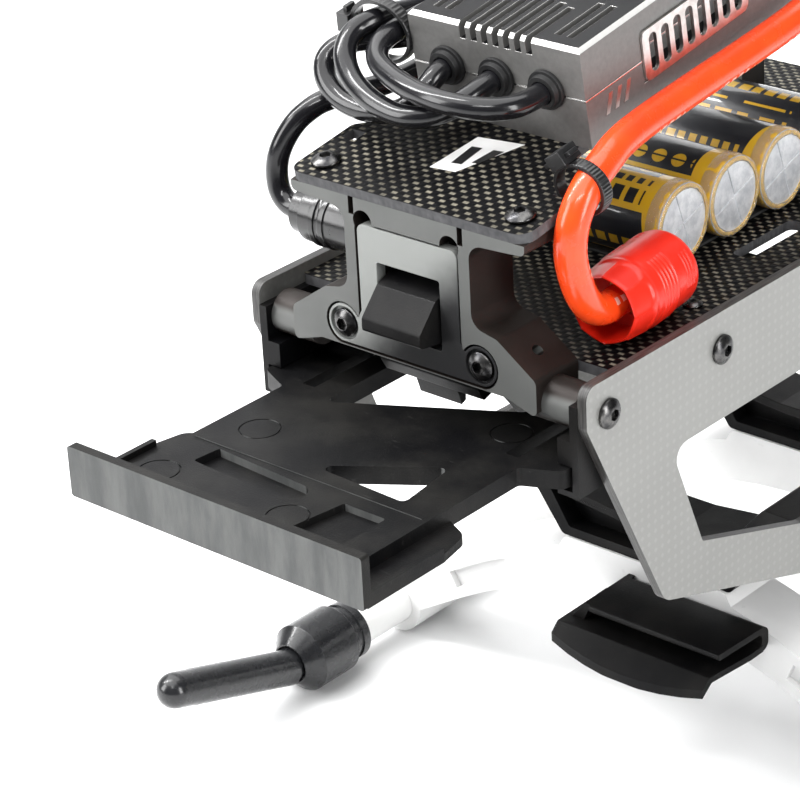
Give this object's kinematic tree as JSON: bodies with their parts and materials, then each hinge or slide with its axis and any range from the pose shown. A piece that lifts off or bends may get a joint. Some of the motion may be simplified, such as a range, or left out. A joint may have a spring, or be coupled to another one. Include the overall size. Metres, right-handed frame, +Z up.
{
  "type": "model helicopter nose chassis",
  "caption": "Nose chassis of a model helicopter: carbon side plates, sliding battery tray with latch, speed controller, buffer capacitors, battery leads and skids.",
  "frame": {"origin": "on the floor under the middle of the object's box", "axes": "+X to port, +Y aft, +Z up; the nose and the tray's lip point to -Y"},
  "size_m": [0.1554, 0.217, 0.1821],
  "materials": {
    "carbon_satin": "satin carbon weave with a silver sheen, dark cut edges",
    "carbon_gloss": "glossy twill carbon weave",
    "nylon": "moulded black nylon",
    "tray_nylon": "moulded black nylon with fine grain and grey rub marks",
    "anodised": "bead-blasted dark anodised aluminium",
    "latch_grey": "grey satin moulding",
    "steel": "bright steel",
    "dark_screw": "blackened steel, polished by the key",
    "controller_dark": "fine-blasted dark grey anodised",
    "bright_trim": "bright machined band",
    "grille_silver": "satin silver",
    "rubber": "soft black rubber",
    "fan_black": "moulded black",
    "can_silver": "bright rolled aluminium with a scored cross",
    "sleeve_yellow": "black and yellow shrink sleeve under clear wrap",
    "board_green": "solder-masked circuit board",
    "foam": "foam tape",
    "wire_black": "glossy black silicone",
    "wire_red": "glossy orange-red silicone",
    "tie_black": "black nylon strap",
    "connector_red": "bright red moulding",
    "connector_black": "black moulding",
    "contact_gold": "gold plated",
    "skid_white": "white painted tube",
    "bow_white": "glossy white moulding",
    "skid_black": "satin black moulding"
  },
  "bodies": {
    "chassis": {"side_plate_left": "carbon_satin", "side_plate_right": "carbon_satin", "rail_left": "nylon", "rail_right": "nylon", "front_bulkhead": "anodised", "rear_support": "anodised", "top_plate": "carbon_gloss", "deck_plate": "carbon_gloss", "latch_plate": "latch_grey", "latch_pin": "steel", "latch_spring": "steel", "latch_screws": "dark_screw", "top_plate_screws": "dark_screw", "side_plate_screws": "dark_screw", "deck_screws": "dark_screw", "esc_base": "controller_dark", "esc_cover": "controller_dark", "esc_trim": "bright_trim", "esc_grilles": "grille_silver", "esc_grommets": "rubber", "fan_frame": "fan_black", "cell_cans": "can_silver", "cell_sleeves": "sleeve_yellow", "cell_board": "board_green", "cell_pad": "foam", "phase_wire_a": "wire_black", "phase_wire_b": "wire_black", "phase_wire_c": "wire_black", "phase_bullets": "contact_gold", "wire_comb": "nylon", "phase_tie": "tie_black", "red_lead": "wire_red", "black_lead": "wire_black", "lead_tie": "tie_black", "red_connector": "connector_red", "red_contact": "contact_gold", "black_connector": "connector_black", "black_contact": "contact_gold", "saddle_front": "nylon", "saddle_rear": "nylon", "bow_front": "bow_white", "bow_rear": "bow_white", "bow_screws": "dark_screw", "belly_clip": "nylon", "skid_tube_left": "skid_white", "skid_tube_right": "skid_white", "skid_tip_left": "skid_black", "skid_tip_right": "skid_black", "skid_collar_left": "skid_black", "skid_collar_right": "skid_black", "skid_cap_left": "skid_black", "skid_cap_right": "skid_black"},
    "tray": {"battery_tray": "tray_nylon"},
    "latch": {"latch_lever": "nylon"},
    "fan": {"fan_rotor": "fan_black"}
  },
  "joints": [
    {"name": "tray_slide", "type": "slide", "parent": "chassis", "child": "tray", "axis": [0, 1, 0], "range_m": [-0.055, 0.051]},
    {"name": "latch_press", "type": "hinge", "parent": "chassis", "child": "latch", "pos_m": [0, -0.0475, 0.1308], "axis": [1, 0, 0], "range_deg": [0, 7], "stiffness_Nm_per_rad": 0.05, "springref_deg": -5.73},
    {"name": "fan_spin", "type": "hinge", "parent": "chassis", "child": "fan", "pos_m": [0, 0.00768, 0.17033], "axis": [0, -0.1564, 0.9877], "continuous": true}
  ]
}
